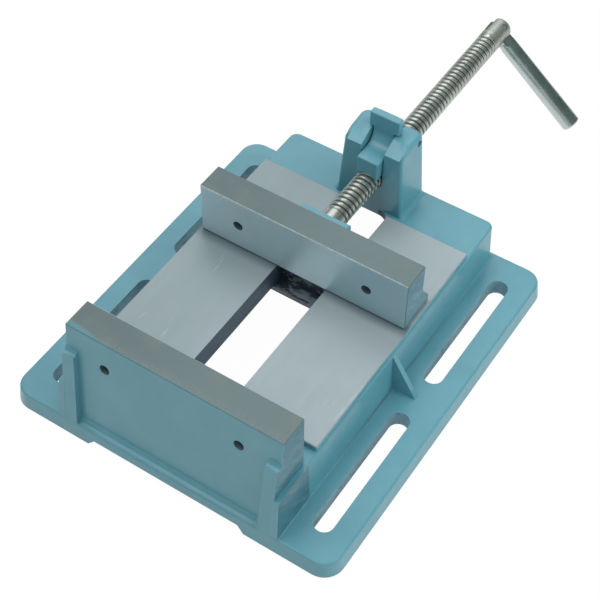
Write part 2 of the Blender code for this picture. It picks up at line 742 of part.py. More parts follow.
def build_bolt(parent, steel, name, side):
    """A hexagon bolt that holds the keeper plate to the keel from below."""
    seat = KEEPER_BOTTOM - WASHER_THICKNESS - 2 * GAP
    corner = BOLT_HEAD_FLATS / math.sqrt(3)
    wide = circle(corner, HEX_SIDES, bolt_place(side))
    narrow = circle(corner - BOLT_HEAD_CHAMFER, HEX_SIDES, bolt_place(side))
    low = seat - BOLT_HEAD_HEIGHT
    head = loft([(narrow, low), (wide, low + BOLT_HEAD_CHAMFER), (wide, seat)], "Z")
    bolt = add_object(f"keeper_bolt_{name}", head, parent, steel)
    shank = circle(BOLT_RADIUS, HOLE_STEPS, bolt_place(side))
    add(bolt, "shank", prism(shank, seat - BOLT_HEAD_HEIGHT / 2, KEEPER_TOP + BOLT_GRIP, "Z"))


# Lead screw and handle; their Y counts from the jaw's working face, and their X runs along
# the head's slot


def screw_profile():
    tip = BOSS_REAR - SCREW_TIP_DEPTH
    groove = BOSS_REAR - RETAINING_PIN_SETBACK
    start = BOSS_REAR + GAP
    profile = [
        (SCREW_TIP_RADIUS - SCREW_CHAMFER, tip),
        (SCREW_TIP_RADIUS, tip + SCREW_CHAMFER),
        (SCREW_TIP_RADIUS, groove - SCREW_GROOVE_WIDTH / 2),
        (SCREW_GROOVE_RADIUS, groove - SCREW_GROOVE_WIDTH / 2),
        (SCREW_GROOVE_RADIUS, groove + SCREW_GROOVE_WIDTH / 2),
        (SCREW_TIP_RADIUS, groove + SCREW_GROOVE_WIDTH / 2),
        (SCREW_TIP_RADIUS, start),
        (SCREW_RADIUS - SCREW_CHAMFER, start),
        (SCREW_RADIUS, start + SCREW_CHAMFER),
        (SCREW_RADIUS, SCREW_THREAD_END),
        (SCREW_HEAD_RADIUS, SCREW_THREAD_END),
    ]
    for radius, rise in arc((0.0, 0.0), 1.0, 0, 90, DOME_STEPS):
        profile.append((SCREW_HEAD_RADIUS * max(radius, 0.0), HEAD_CENTRE + SCREW_DOME_LENGTH * rise))
    return profile


def build_screw(parent, steel):
    """The lead screw's body: grooved tip, threaded length and domed, slotted head."""
    screw = add_object("lead_screw", turned(screw_profile(), ROUND_STEPS), parent, steel)
    half = HEAD_SLOT_WIDTH / 2
    slot = box_outline(HEAD_PIN - HEAD_SLOT_DEPTH, HEAD_END + OVERRUN, -half, half)
    cut(screw, "head_slot", prism(slot, -OVERRUN, OVERRUN, "X"))
    bore = circle(BORE_RADIUS, HOLE_STEPS, (0.0, HEAD_PIN))
    cut(screw, "head_bore", prism(bore, -OVERRUN, OVERRUN, "Z"))


def build_handle_pin(parent, steel):
    half = SCREW_HEAD_RADIUS - PIN_RECESS
    pin = prism(circle(PIN_RADIUS, HOLE_STEPS), -half, half, "Z")
    add_object("handle_pin", pin, parent, steel)


def handle_ring(along, radius, half_thickness):
    """A cross-section of the handle: a circle flattened to a thickness across the pin."""
    ring = []
    for y, z in circle(radius, ROUND_STEPS):
        ring.append((y, max(-half_thickness, min(half_thickness, z))))
    return (ring, along)


def build_handle(parent, steel):
    """The round bar, with a flat tongue that turns on the pin in the screw's head."""
    end = HANDLE_LENGTH
    wide = HANDLE_RADIUS + HANDLE_TAPER
    rings = [
        handle_ring(TONGUE_SHOULDER, HANDLE_RADIUS, TONGUE_HALF_THICKNESS),
        handle_ring(TONGUE_SHOULDER + TONGUE_SLOPE, HANDLE_RADIUS, HANDLE_RADIUS),
        handle_ring(end - HANDLE_CHAMFER, wide, wide),
        handle_ring(end, wide - HANDLE_CHAMFER, wide),
    ]
    handle = add_object("handle_bar", loft(rings, "X"), parent, steel)
    rounded = arc((0.0, 0.0), TONGUE_HALF_WIDTH, 90, 270, 2 * CORNER_STEPS)
    reach = TONGUE_SHOULDER + TONGUE_SLOPE
    tongue = rounded + [(reach, -TONGUE_HALF_WIDTH), (reach, TONGUE_HALF_WIDTH)]
    half = TONGUE_HALF_THICKNESS
    add(handle, "tongue", prism(tongue, -half, half, "Z"))
    bore = circle(BORE_RADIUS, HOLE_STEPS)
    cut(handle, "pin_bore", prism(bore, -OVERRUN, OVERRUN, "Z"))


# Half nut lever; its Y and Z count from the pivot pin


def nut_outline():
    """The lever's side view: threaded nose, hollow neck, thumb tab and pivot boss."""
    front = EAR_FRONT - NUT_FRONT_LEAD - PIVOT_Y
    low = SCREW_Z + NUT_FOOT_RISE - PIVOT_Z
    top = SCREW_Z + NUT_TOP_RISE - PIVOT_Z
    tab_front = -TAB_FORWARD
    tab_top = TAB_TOP - PIVOT_Z
    neck = (tab_front - NUT_NECK_RADIUS, top + NUT_NECK_RADIUS)
    outline = [(front, low), (front + NUT_TAIL_RUN, low)]
    outline += arc((0.0, 0.0), PIVOT_BOSS_RADIUS, -90, 60, ARC_STEPS)
    outline += [(tab_front + TAB_THICKNESS, tab_top), (tab_front, tab_top)]
    outline += arc(neck, NUT_NECK_RADIUS, 0, -90, ARC_STEPS)
    outline += [(front, top)]
    return outline


def build_half_nut(parent, paint):
    body = bevel_sharp(prism(nut_outline(), -NUT_HALF, NUT_HALF, "X"), NUT_EDGE, RIM_STEPS)
    nut = add_object("half_nut", body, parent, paint)
    tab_front = -TAB_FORWARD
    tab_low = PIVOT_FROM_TOP + TAB_CLEARANCE
    tab_top = TAB_TOP - PIVOT_Z
    tab = box_outline(tab_front, tab_front + TAB_THICKNESS, tab_low, tab_top)
    add(nut, "tab", bevel_sharp(prism(tab, -TAB_HALF_WIDTH, TAB_HALF_WIDTH, "X"), TAB_EDGE, RIM_STEPS))
    groove = circle(SCREW_RADIUS + GAP, ROUND_STEPS, (0.0, SCREW_Z - PIVOT_Z))
    front = EAR_FRONT - NUT_FRONT_LEAD - PIVOT_Y
    cut(nut, "thread_groove", prism(groove, front - OVERRUN, OVERRUN, "Y"))
    bore = circle(BORE_RADIUS, HOLE_STEPS)
    cut(nut, "pivot_bore", prism(bore, -TAB_HALF_WIDTH - OVERRUN, TAB_HALF_WIDTH + OVERRUN, "X"))


def build_pivot_pin(parent, steel):
    half = EAR_TOP_HALF - PIVOT_PIN_SUNK
    pin = prism(circle(PIN_RADIUS, HOLE_STEPS), -half, half, "X")
    add_object("nut_pivot_pin", pin, parent, steel)


def main():
    clear_scene()
    paint = make_material("blue_grey_paint", (0.22, 0.36, 0.42), 0.45, 0.0)
    steel = make_material("turned_steel", (0.52, 0.51, 0.48), 0.35, 1.0)
    zinc = make_material("zinc_plate", (0.60, 0.63, 0.62), 0.30, 1.0)
    dark = make_material("dark_steel", (0.12, 0.13, 0.14), 0.50, 1.0)

    frame = add_empty("vise_frame", (0.0, -PART_MIDDLE, 0.0))
    build_base(frame, paint)

    carriage = add_empty("jaw_slide", (0.0, JAW_OPENING, 0.0), frame)
    build_sliding_jaw(carriage, paint)
    build_keeper(carriage, dark)
    for name, side in (("left", -1), ("right", 1)):
        build_retaining_pin(carriage, steel, name, side)
        build_washer(carriage, steel, name, side)
        build_bolt(carriage, steel, name, side)

    spindle = add_empty("screw_axis", (0.0, 0.0, SCREW_Z), carriage, HANDLE_ROLL)
    build_screw(spindle, steel)
    hinge = add_empty("handle_hinge", (0.0, HEAD_PIN, 0.0), spindle)
    build_handle_pin(hinge, steel)
    build_handle(hinge, zinc)

    pivot = add_empty("nut_pivot", (0.0, PIVOT_Y, PIVOT_Z), frame)
    build_pivot_pin(pivot, steel)
    build_half_nut(pivot, paint)


main()
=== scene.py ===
"""Looks of the drill press vise: paint, machined faces, threads, light and camera.

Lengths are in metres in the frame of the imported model: X across the jaws, Y from the fixed
jaw towards the handle, Z up from the table.
"""

import math

import bmesh
import bpy
import numpy as np
from mathutils import Matrix, Vector


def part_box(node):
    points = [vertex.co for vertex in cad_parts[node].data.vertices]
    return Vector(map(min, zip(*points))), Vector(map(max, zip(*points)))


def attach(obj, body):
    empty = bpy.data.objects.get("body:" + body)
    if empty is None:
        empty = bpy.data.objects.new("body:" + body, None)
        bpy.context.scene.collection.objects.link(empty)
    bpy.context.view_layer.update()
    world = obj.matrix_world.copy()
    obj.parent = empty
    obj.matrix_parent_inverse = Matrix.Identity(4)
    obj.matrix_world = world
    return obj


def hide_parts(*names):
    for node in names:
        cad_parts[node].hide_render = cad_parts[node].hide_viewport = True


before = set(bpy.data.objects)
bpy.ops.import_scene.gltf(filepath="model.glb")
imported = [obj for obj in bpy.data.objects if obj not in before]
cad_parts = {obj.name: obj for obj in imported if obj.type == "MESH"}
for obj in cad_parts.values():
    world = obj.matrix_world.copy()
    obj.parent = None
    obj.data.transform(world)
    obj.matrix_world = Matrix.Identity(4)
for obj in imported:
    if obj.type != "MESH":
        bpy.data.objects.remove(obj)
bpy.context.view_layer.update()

# Camera, fitted to the photograph
CAMERA_PLACE = (0.3149, -0.552965, 0.7386)
CAMERA_AZIMUTH = math.radians(32.437)
CAMERA_ELEVATION = math.radians(50.488)
CAMERA_ROLL = math.radians(0.952)
SENSOR_WIDTH = 36.0
FOCAL_LENGTH = 87.377
NEAR_CLIP = 0.01

# Places on the castings
WAY_HEIGHT = 0.048
JAW_TOP = 0.088
JAW_OPENING = 0.1112
FIXED_JAW_FRONT = -0.1892
GAP_HALF = 0.018
GAP_BOTTOM = 0.032
GAP_REAR = 0.0235
JAW_HOLE_OFFSET = 0.0468
JAW_HOLE_HEIGHT = 0.0675
JAW_HOLE_REACH = 0.0040
SLOT_OFFSET = 0.0957
SLOT_REACH = 0.0072
FLANGE_TOP = 0.012
NUT_GROOVE_REACH = 0.0088
PLACE_TOLERANCE = 0.0008

# How much a face turns to a direction, as its unit normal's part along it
FACING = 0.6
SLOPING = 0.5
END_ON = 0.9
SIDEWAYS = 0.97

# Rounded edges and smooth shading
MERGE_DISTANCE = 2e-6
FLAT_ANGLE = math.radians(0.4)
SMOOTH_ANGLE = math.radians(26.0)
EDGE_ANGLE = math.radians(40.0)
CASTING_EDGE = 0.00045
MACHINED_EDGE = 0.0002
EDGE_SEGMENTS = 3
SHORTEST_EDGE_SHARE = 5.0

# Hollow fillet between the bed's sides and the flange
BED_HALF_TOP = 0.0777
BED_DRAFT = 0.0015
BED_TOP = 0.0435
BED_REAR = 0.0543
BED_CORNER = 0.0055
FILLET_RADIUS = 0.003
FILLET_SHARE = 0.45
FILLET_SLACK = 0.00005

# Pads that thicken the bed's sides under the fixed jaw's ends
PAD_INNER = 0.0742
PAD_TOP_OUTER = 0.0781
PAD_FOOT_OUTER = 0.0797
PAD_FOOT = 0.0118
PAD_TOP = 0.0437
PAD_FRONT_FOOT = -0.20306
PAD_FRONT_TOP = -0.19882
PAD_REAR = -0.1686

# Lead screw's thread
THREAD_PITCH = 0.004
THREAD_FROM_TIP = 0.0312
THREAD_END_FROM_TIP = 0.2288
SHOULDER_LENGTH = 0.0005
ROOT_RADIUS = 0.0067
CREST_RADIUS = 0.00795
CREST_HALF = 0.00118
CREST_ROUND = 0.00042
CREST_CORNER_SPREAD = 0.3
CREST_CORNER_DROP = 0.25
FLANK_HALF = 0.00162
FLANK_ANGLE = math.radians(15.0)
RIDGE_SUNK = 0.0004
THREAD_STEPS = 48

# Lead screw's head, and the pins' ends
HEAD_FROM_TIP = 0.2359
HEAD_RADIUS = 0.0081
DOME_LENGTH = 0.0052
DOME_SHOWN = 0.00483
HEAD_NORMAL_MATCH = 0.9
PIN_DOME = 0.00025
PIN_END_SIDES = 8

# Wear and paint on the machined faces, and painted shade where the jaws' faces meet the ways
WAY_PAINTED_SHADE_START = 0.001
WAY_PAINTED_SHADE_REACH = 0.0095
WAY_PAINTED_SHADE_RAGGED = 0.002
FOOT_PAINTED_SHADE_START = 0.0006
FOOT_PAINTED_SHADE_END = 0.0020
SPECKLED_REACH = 0.008
CREPT_PAINT_LEFT = 0.0042
CREPT_PAINT_RIGHT = 0.0007
CREPT_PAINT_RAGGED = 0.0024
CREPT_PAINT_FULL = 0.0002
CREPT_PAINT_GONE = 0.0022
SCUFF_SLANT = math.radians(35.0)
SCUFF_SHIFT = (0.3, 0.2, 0.1)

# Where the values of a noise mostly lie
NOISE_LOW = 0.3
NOISE_HIGH = 0.7

# Floor and surround
FLOOR_HALF = 6.0
FLOOR_DROP = 0.0003
FLOOR_GREY = (0.65, 0.65, 0.65, 1.0)
FLOOR_GLOW = 1.03
FLOOR_WHITE_SHARE = 0.95
SKY_TINT = (0.93, 0.97, 1.0, 1.0)
SKY_STRENGTH = 0.31
WHITE = (1.0, 1.0, 1.0, 1.0)

# Softboxes: place, width, height, power, colour, and whether shiny surfaces mirror them
LAMP_TARGET = (0.0, 0.0, 0.04)
SOFTBOXES = {
    "top_box": ((0.62, 0.15, 1.45), 0.9, 0.9, 4.8, (1.0, 1.0, 1.0), False),
    "rear_box": ((-0.55, 0.86, 1.24), 1.1, 1.1, 6.6, (0.95, 0.97, 1.0), True),
    "side_box": ((1.5, 0.15, 0.75), 1.0, 0.8, 9.2, (1.0, 1.0, 1.0), False),
    "front_box": ((0.4, -1.6, 0.9), 1.2, 0.9, 3.0, (1.0, 1.0, 1.0), True),
    "high_box": ((-0.51, -0.36, 1.42), 0.8, 0.8, 6.6, (1.0, 1.0, 1.0), True),
}

# Dark card above the handle
HANDLE_SLANT = math.radians(38.9)
CARD_CENTRE = (0.03, 0.19, 0.06)
CARD_RADIUS = 0.6
CARD_START = math.radians(-55.0)
CARD_END = math.radians(95.0)
CARD_OFFSET = 0.135
CARD_HALF_WIDTH = 0.13
CARD_STEPS = 13
CARD_COLOUR = (0.10, 0.20, 0.18, 1.0)
CARD_GLOW = 0.55


def srgb(red, green, blue):
    """A linear colour from values of 0 to 255 as a screen shows them."""
    linear = []
    for value in (red, green, blue):
        share = value / 255
        linear.append(share / 12.92 if share <= 0.04045 else ((share + 0.055) / 1.055) ** 2.4)
    return (*linear, 1.0)


# Nodes


def add_node(tree, kind, settings=None, **inputs):
    """A shader node. Each input, by its name or as i and its number, is a value or a socket to link."""
    node = tree.nodes.new(kind)
    for name, value in (settings or {}).items():
        setattr(node, name, value)
    for name, value in inputs.items():
        key = int(name[1:]) if name[0] == "i" and name[1:].isdigit() else name.replace("_", " ")
        socket = node.inputs[key]
        if isinstance(value, bpy.types.NodeSocket):
            tree.links.new(value, socket)
        else:
            socket.default_value = value
    return node


def math_node(tree, operation, first, second=0.0, third=0.0):
    node = add_node(tree, "ShaderNodeMath", {"operation": operation}, i0=first, i1=second, i2=third)
    return node.outputs[0]


def times(tree, first, second):
    return math_node(tree, "MULTIPLY", first, second)


def minus(tree, first, second):
    return math_node(tree, "SUBTRACT", first, second)


def mix_colour(tree, factor, first, second):
    return add_node(tree, "ShaderNodeMix", {"data_type": "RGBA"}, i0=factor, i6=first, i7=second).outputs[2]


def ramp(tree, value, low, high, to_low=0.0, to_high=1.0):
    """A value eased from one range into another, and held at its ends."""
    settings = {"clamp": True, "interpolation_type": "SMOOTHSTEP"}
    ends = {"i1": low, "i2": high, "i3": to_low, "i4": to_high}
    return add_node(tree, "ShaderNodeMapRange", settings, i0=value, **ends).outputs[0]


def spread(tree, value, to_low=0.0, to_high=1.0):
    """A noise's value, which mostly keeps to the middle, spread over a whole range."""
    return ramp(tree, value, NOISE_LOW, NOISE_HIGH, to_low, to_high)


def noise(tree, vector, scale, detail, roughness, distortion=0.0):
    node = add_node(
        tree, "ShaderNodeTexNoise",
        Vector=vector, Scale=scale, Detail=detail, Roughness=roughness, Distortion=distortion,
    )
    return node.outputs["Fac"]


def moved(tree, vector, location=(0.0, 0.0, 0.0), rotation=(0.0, 0.0, 0.0)):
    node = add_node(tree, "ShaderNodeMapping", Vector=vector, Location=location, Rotation=rotation)
    return node.outputs[0]


def stretched(tree, vector, factors):
    settings = {"operation": "MULTIPLY"}
    return add_node(tree, "ShaderNodeVectorMath", settings, i0=vector, i1=factors).outputs[0]


def object_coordinates(tree):
    return tree.nodes.new("ShaderNodeTexCoord").outputs["Object"]


def coordinate(tree, vector, axis):
    return add_node(tree, "ShaderNodeSeparateXYZ", Vector=vector).outputs[axis]


def towards_left(tree, vector, left, right):
    """1 left of the first place across the jaws, 0 right of the second, and eased between them."""
    return ramp(tree, coordinate(tree, vector, "X"), left, right, 1.0, 0.0)


def bump(tree, height, strength, distance, normal=None):
    node = add_node(tree, "ShaderNodeBump", Height=height, Strength=strength, Distance=distance)
    if normal:
        tree.links.new(normal, node.inputs["Normal"])
    return node.outputs[0]


def new_group(name, inputs, outputs):
    """An empty shader node group with float or vector sockets, and its two end nodes."""
    kinds = {"f": "NodeSocketFloat", "v": "NodeSocketVector"}
    tree = bpy.data.node_groups.new(name, "ShaderNodeTree")
    for label, kind in inputs:
        tree.interface.new_socket(label, in_out="INPUT", socket_type=kinds[kind])
    for label, kind in outputs:
        tree.interface.new_socket(label, in_out="OUTPUT", socket_type=kinds[kind])
    return tree, tree.nodes.new("NodeGroupInput").outputs, tree.nodes.new("NodeGroupOutput").inputs


def use_group(tree, group, **inputs):
    return add_node(tree, "ShaderNodeGroup", {"node_tree": group}, **inputs).outputs


def new_material(name, roughness, metallic=0.0, **settings):
    """A material, its tree, its shader's inputs and the object coordinates in it."""
    material = bpy.data.materials.new(name)
    material.use_nodes = True
    tree = material.node_tree
    shader = tree.nodes["Principled BSDF"]
    shader.inputs["Roughness"].default_value = roughness
    shader.inputs["Metallic"].default_value = metallic
    for key, value in settings.items():
        shader.inputs[key.replace("_", " ")].default_value = value
    return material, tree, shader.inputs, object_coordinates(tree)


def new_stage_material(name):
    """A material with an empty tree, for surfaces that aren't part of the vise."""
    material = bpy.data.materials.new(name)
    material.use_nodes = True
    material.node_tree.nodes.clear()
    return material, material.node_tree


def feed(tree, shader, **values):
    """Link values into the shader's inputs of the same names."""
    for name, value in values.items():
        tree.links.new(value, shader[name.replace("_", " ")])


# Shared effects


def build_grain_group():
    """Fine parallel scratches, from noise drawn out along one axis in two widths, and slow clouds."""
    tree, given, result = new_group(
        "grinding_lines",
        [("Vector", "v"), ("Along", "v"), ("Fineness", "f")],
        [("Lines", "f"), ("Clouds", "f")],
    )
    drawn = stretched(tree, given["Vector"], given["Along"])
    fine = noise(tree, drawn, given["Fineness"], 4.0, 0.65)
    broad = noise(tree, drawn, times(tree, given["Fineness"], 0.22), 2.0, 0.5)
    lines = math_node(tree, "MULTIPLY_ADD", fine, 0.65, times(tree, broad, 0.35))
    tree.links.new(lines, result["Lines"])
    tree.links.new(noise(tree, given["Vector"], 38.0, 3.0, 0.6), result["Clouds"])
    return tree


def build_skin_group():
    """Slow waves of a casting's skin and the fine peel of its paint, as heights, and broad patches."""
    layers = {"Peel": (620.0, 2.0, 0.45), "Waves": (95.0, 3.0, 0.5), "Patches": (26.0, 4.0, 0.6)}
    tree, given, result = new_group("casting_skin", [("Vector", "v")], [(name, "f") for name in layers])
    for name, (scale, detail, roughness) in layers.items():
        tree.links.new(noise(tree, given["Vector"], scale, detail, roughness), result[name])
    return tree


def build_smear_group():
    """Short worn or greasy smears: a mask from drawn-out noise, cut off at a level."""
    tree, given, result = new_group(
        "smears", [("Vector", "v"), ("Along", "v"), ("Scale", "f"), ("Level", "f")], [("Mask", "f")]
    )
    spots = noise(tree, stretched(tree, given["Vector"], given["Along"]), given["Scale"], 4.0, 0.62, 0.5)
    tree.links.new(ramp(tree, minus(tree, spots, given["Level"]), 0.0, 0.10), result["Mask"])
    return tree


GRAIN = build_grain_group()
SKIN = build_skin_group()
SMEARS = build_smear_group()


def grain(tree, where, along, fineness):
    return use_group(tree, GRAIN, Vector=where, Along=along, Fineness=fineness)


def smears(tree, where, along, scale, level):
    return use_group(tree, SMEARS, Vector=where, Along=along, Scale=scale, Level=level)["Mask"]


# Materials


def make_paint(name, dark, light):
    """Blue-grey enamel on cast iron, glossy and slightly uneven."""
    material, tree, shader, where = new_material(
        name, 0.38, Specular_IOR_Level=0.5, Coat_Weight=0.15, Coat_Roughness=0.10
    )
    skin = use_group(tree, SKIN, Vector=where)
    waves = bump(tree, skin["Waves"], 0.25, 0.00025)
    feed(
        tree, shader,
        Base_Color=mix_colour(tree, ramp(tree, skin["Patches"], 0.30, 0.72), dark, light),
        Roughness=ramp(tree, skin["Waves"], 0.25, 0.75, 0.33, 0.43),
        Normal=bump(tree, skin["Peel"], 0.15, 0.00003, waves),
        Coat_Normal=bump(tree, skin["Waves"], 0.10, 0.00015),
    )
    return material


def make_scuffed_paint():
    """The same enamel, darker, on the jaws' sawn ends, with slanting pale scuffs and dark smears."""
    material = make_paint("scuffed_enamel", srgb(62, 112, 125), srgb(73, 124, 139))
    tree = material.node_tree
    base = tree.nodes["Principled BSDF"].inputs["Base Color"]
    turned = moved(tree, object_coordinates(tree), rotation=(SCUFF_SLANT, 0.0, 0.0))
    shifted = moved(tree, turned, location=SCUFF_SHIFT)
    rubbed = times(tree, smears(tree, turned, (1.0, 0.30, 1.6), 210.0, 0.50), 0.30)
    dirty = times(tree, smears(tree, shifted, (1.0, 0.5, 1.5), 300.0, 0.58), 0.35)
    tone = mix_colour(tree, rubbed, base.links[0].from_socket, srgb(112, 156, 172))
    tone = mix_colour(tree, dirty, tone, srgb(44, 84, 100))
    tree.links.new(tone, base)
    return material


def make_ways():
    """Face-milled iron of the two ways: pale, with short worn streaks, darker at the left as painted shade,
    and with a band of painted shade in front of the sliding jaw.
    """
    material, tree, shader, where = new_material("milled_ways", 0.45, 0.2, Specular_IOR_Level=0.35)
    fine = grain(tree, where, (1.0, 0.05, 1.0), 900.0)
    worn = times(tree, smears(tree, where, (1.0, 0.16, 1.0), 170.0, 0.63), 0.35)
    # Painted shade: the ways are darker towards the left, where less light falls.
    left = towards_left(tree, where, -0.05, 0.03)
    tone = mix_colour(tree, left, srgb(161, 174, 177), srgb(145, 160, 163))
    tone = mix_colour(tree, ramp(tree, fine["Clouds"], 0.35, 0.75, 0.0, 0.22), tone, srgb(143, 157, 160))
    tone = mix_colour(tree, worn, tone, srgb(190, 202, 204))
    # Painted shade: a ragged dark band on the ways in front of the sliding jaw, where its shade falls.
    jaw_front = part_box("sliding_jaw")[0].y
    beside = math_node(tree, "ABSOLUTE", minus(tree, coordinate(tree, where, "Y"), jaw_front))
    ragged = math_node(tree, "MULTIPLY_ADD", fine["Clouds"], WAY_PAINTED_SHADE_RAGGED, beside)
    painted_shade = ramp(tree, ragged, WAY_PAINTED_SHADE_START, WAY_PAINTED_SHADE_REACH, 0.75, 0.0)
    feed(
        tree, shader,
        Base_Color=mix_colour(tree, painted_shade, tone, srgb(86, 106, 115)),
        Roughness=spread(tree, fine["Lines"], 0.38, 0.50),
        Normal=bump(tree, fine["Lines"], 0.15, 0.00002),
    )
    return material


def make_jaw_top():
    """Ground top of the jaws: grey with brown patches, darker at the left as painted shade. The fixed jaw's
    is speckled along its front edge, where paint has crept over it, most at the left."""
    material, tree, shader, where = new_material("ground_jaw_top", 0.46, 0.2, Specular_IOR_Level=0.3)
    fine = grain(tree, where, (0.04, 1.0, 1.0), 1300.0)
    # Painted shade: the tops are darker towards the left, where less light falls.
    left = towards_left(tree, where, -0.06, 0.04)
    tone = mix_colour(tree, left, srgb(109, 126, 127), srgb(100, 116, 117))
    tone = mix_colour(tree, ramp(tree, fine["Clouds"], 0.50, 0.75, 0.0, 0.5), tone, srgb(117, 127, 120))
    behind_front = minus(tree, coordinate(tree, where, "Y"), FIXED_JAW_FRONT)
    specks = ramp(tree, noise(tree, where, 900.0, 3.0, 0.7), 0.45, 0.62)
    speckled = times(tree, specks, ramp(tree, behind_front, 0.0, SPECKLED_REACH, 0.55, 0.0))
    tone = mix_colour(tree, speckled, tone, srgb(138, 142, 136))
    across = coordinate(tree, where, "X")
    reach = ramp(tree, across, -0.075, -0.040, CREPT_PAINT_LEFT, CREPT_PAINT_RIGHT)
    edge_noise = noise(tree, where, 260.0, 4.0, 0.6)
    ragged = math_node(tree, "MULTIPLY_ADD", edge_noise, CREPT_PAINT_RAGGED, behind_front)
    crept = ramp(tree, minus(tree, ragged, reach), CREPT_PAINT_FULL, CREPT_PAINT_GONE, 1.0, 0.0)
    feed(
        tree, shader,
        Base_Color=mix_colour(tree, crept, tone, srgb(98, 140, 147)),
        Roughness=spread(tree, fine["Lines"], 0.42, 0.52),
        Normal=bump(tree, fine["Lines"], 0.15, 0.00002),
    )
    return material


def make_jaw_face():
    """Ground working face of the jaws: blue-grey and half bright, lighter at the left as a painted
    highlight, with a dark line of painted shade at its foot.
    """
    material, tree, shader, where = new_material("ground_jaw_face", 0.36, 0.25, Specular_IOR_Level=0.5)
    fine = grain(tree, where, (0.04, 1.0, 1.0), 1300.0)
    # Painted highlight: the face is lighter towards the left.
    left = towards_left(tree, where, -0.06, 0.05)
    tone = mix_colour(tree, left, srgb(158, 190, 199), srgb(176, 202, 208))
    tone = mix_colour(tree, ramp(tree, fine["Clouds"], 0.45, 0.75, 0.0, 0.3), tone, srgb(146, 180, 190))
    # Painted shade: a dark line along the face's foot, where it meets the ways.
    above_way = minus(tree, coordinate(tree, where, "Z"), WAY_HEIGHT)
    painted_shade = ramp(tree, above_way, FOOT_PAINTED_SHADE_START, FOOT_PAINTED_SHADE_END, 0.9, 0.0)
    feed(
        tree, shader,
        Base_Color=mix_colour(tree, painted_shade, tone, srgb(18, 32, 40)),
        Roughness=spread(tree, fine["Lines"], 0.33, 0.39),
        Normal=bump(tree, fine["Lines"], 0.06, 0.00001),
    )
    return material


def make_painted_highlight_edge():
    """Painted highlight: pale steel on the chamfer along the sliding jaw's front top edge."""
    material, tree, shader, where = new_material("painted_highlight_edge", 0.35, 0.3)
    worn = ramp(tree, noise(tree, where, 300.0, 3.0, 0.6), 0.35, 0.65)
    feed(tree, shader, Base_Color=mix_colour(tree, worn, srgb(176, 190, 188), srgb(206, 216, 212)))
    return material


def make_rough_wall(name, dark, light, mark, along):
    """Rough-cut iron or thin paint of an inner wall, with marks of another tone along one axis."""
    material, tree, shader, where = new_material(name, 0.6, 0.1)
    fine = grain(tree, where, along, 700.0)
    tone = mix_colour(tree, spread(tree, fine["Clouds"]), dark, light)
    marks = times(tree, smears(tree, where, along, 420.0, 0.55), 0.6)
    feed(
        tree, shader,
        Base_Color=mix_colour(tree, marks, tone, mark),
        Normal=bump(tree, fine["Lines"], 0.3, 0.00004),
    )
    return material


def make_greasy_iron():
    """Dark iron of the keel and keeper, smeared with grease, with pale flecks painted as glints."""
    material, tree, shader, where = new_material("greasy_iron", 0.45, 0.1)
    smear = smears(tree, where, (0.5, 1.0, 0.8), 170.0, 0.46)
    # Painted glints: pale flecks on the grease.
    painted_glint = smears(tree, where, (0.6, 1.0, 1.4), 620.0, 0.66)
    tone = mix_colour(tree, smear, srgb(50, 66, 78), srgb(118, 130, 134))
    feed(
        tree, shader,
        Base_Color=mix_colour(tree, painted_glint, tone, srgb(150, 162, 168)),
        Roughness=ramp(tree, smear, 0.0, 1.0, 0.25, 0.55),
        Normal=bump(tree, smear, 0.5, 0.0002),
    )
    return material


def make_screw_steel():
    """Turned steel, darker towards the thread's root as painted shade in its grooves, and a duller head."""
    material, tree, shader, where = new_material("turned_steel_looks", 0.28, 0.85)
    low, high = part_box("lead_screw")
    axis = (low + high) / 2
    from_axis = stretched(tree, moved(tree, where, location=(-axis.x, 0.0, -axis.z)), (1.0, 0.0, 1.0))
    radius = add_node(tree, "ShaderNodeVectorMath", {"operation": "LENGTH"}, i0=from_axis).outputs["Value"]
    # Painted shade: the thread is darker towards its root.
    crest = ramp(tree, radius, ROOT_RADIUS, CREST_RADIUS - CREST_ROUND)
    fine = grain(tree, where, (0.4, 1.0, 0.4), 1500.0)
    clouds = spread(tree, fine["Clouds"])
    bright = mix_colour(tree, clouds, srgb(168, 174, 166), srgb(188, 193, 185))
    thread_end, head_start = low.y + THREAD_END_FROM_TIP, low.y + HEAD_FROM_TIP
    duller = ramp(tree, coordinate(tree, where, "Y"), thread_end, head_start, 0.0, 0.16)
    sheen = spread(tree, fine["Lines"], 0.25, 0.36)
    feed(
        tree, shader,
        Base_Color=mix_colour(tree, crest, srgb(112, 116, 108), bright),
        Roughness=math_node(tree, "ADD", sheen, duller),
        Normal=bump(tree, fine["Lines"], 0.2, 0.00003),
    )
    return material


def make_zinc():
    """Bright zinc plate of the handle, slightly clouded."""
    material, tree, shader, where = new_material("zinc_plate_looks", 0.35, 1.0)
    clouds = noise(tree, where, 60.0, 3.0, 0.5)
    feed(
        tree, shader,
        Base_Color=mix_colour(tree, spread(tree, clouds), srgb(186, 197, 194), srgb(198, 207, 203)),
        Roughness=spread(tree, clouds, 0.33, 0.38),
    )
    return material


def make_finishes():
    """Every finish on the vise by its name."""
    gap_iron = (srgb(52, 74, 90), srgb(62, 86, 102), srgb(80, 100, 114), (1.0, 0.08, 1.0))
    slot_wall = (srgb(108, 156, 170), srgb(134, 178, 190), srgb(66, 94, 106), (1.0, 0.25, 0.9))
    hole_wall = (srgb(84, 110, 118), srgb(100, 126, 134), srgb(90, 110, 114), (1.0, 1.0, 1.0))
    return {
        "paint": make_paint("blue_grey_enamel", srgb(91, 154, 168), srgb(98, 160, 173)),
        "scuffed": make_scuffed_paint(),
        "ways": make_ways(),
        "jaw_top": make_jaw_top(),
        "jaw_face": make_jaw_face(),
        "gap_iron": make_rough_wall("gap_iron", *gap_iron),
        "slot_wall": make_rough_wall("slot_wall", *slot_wall),
        "hole_wall": make_rough_wall("hole_wall", *hole_wall),
        "painted_highlight_edge": make_painted_highlight_edge(),
        "greasy": make_greasy_iron(),
        "steel": make_screw_steel(),
        "zinc": make_zinc(),
    }


# Pieces


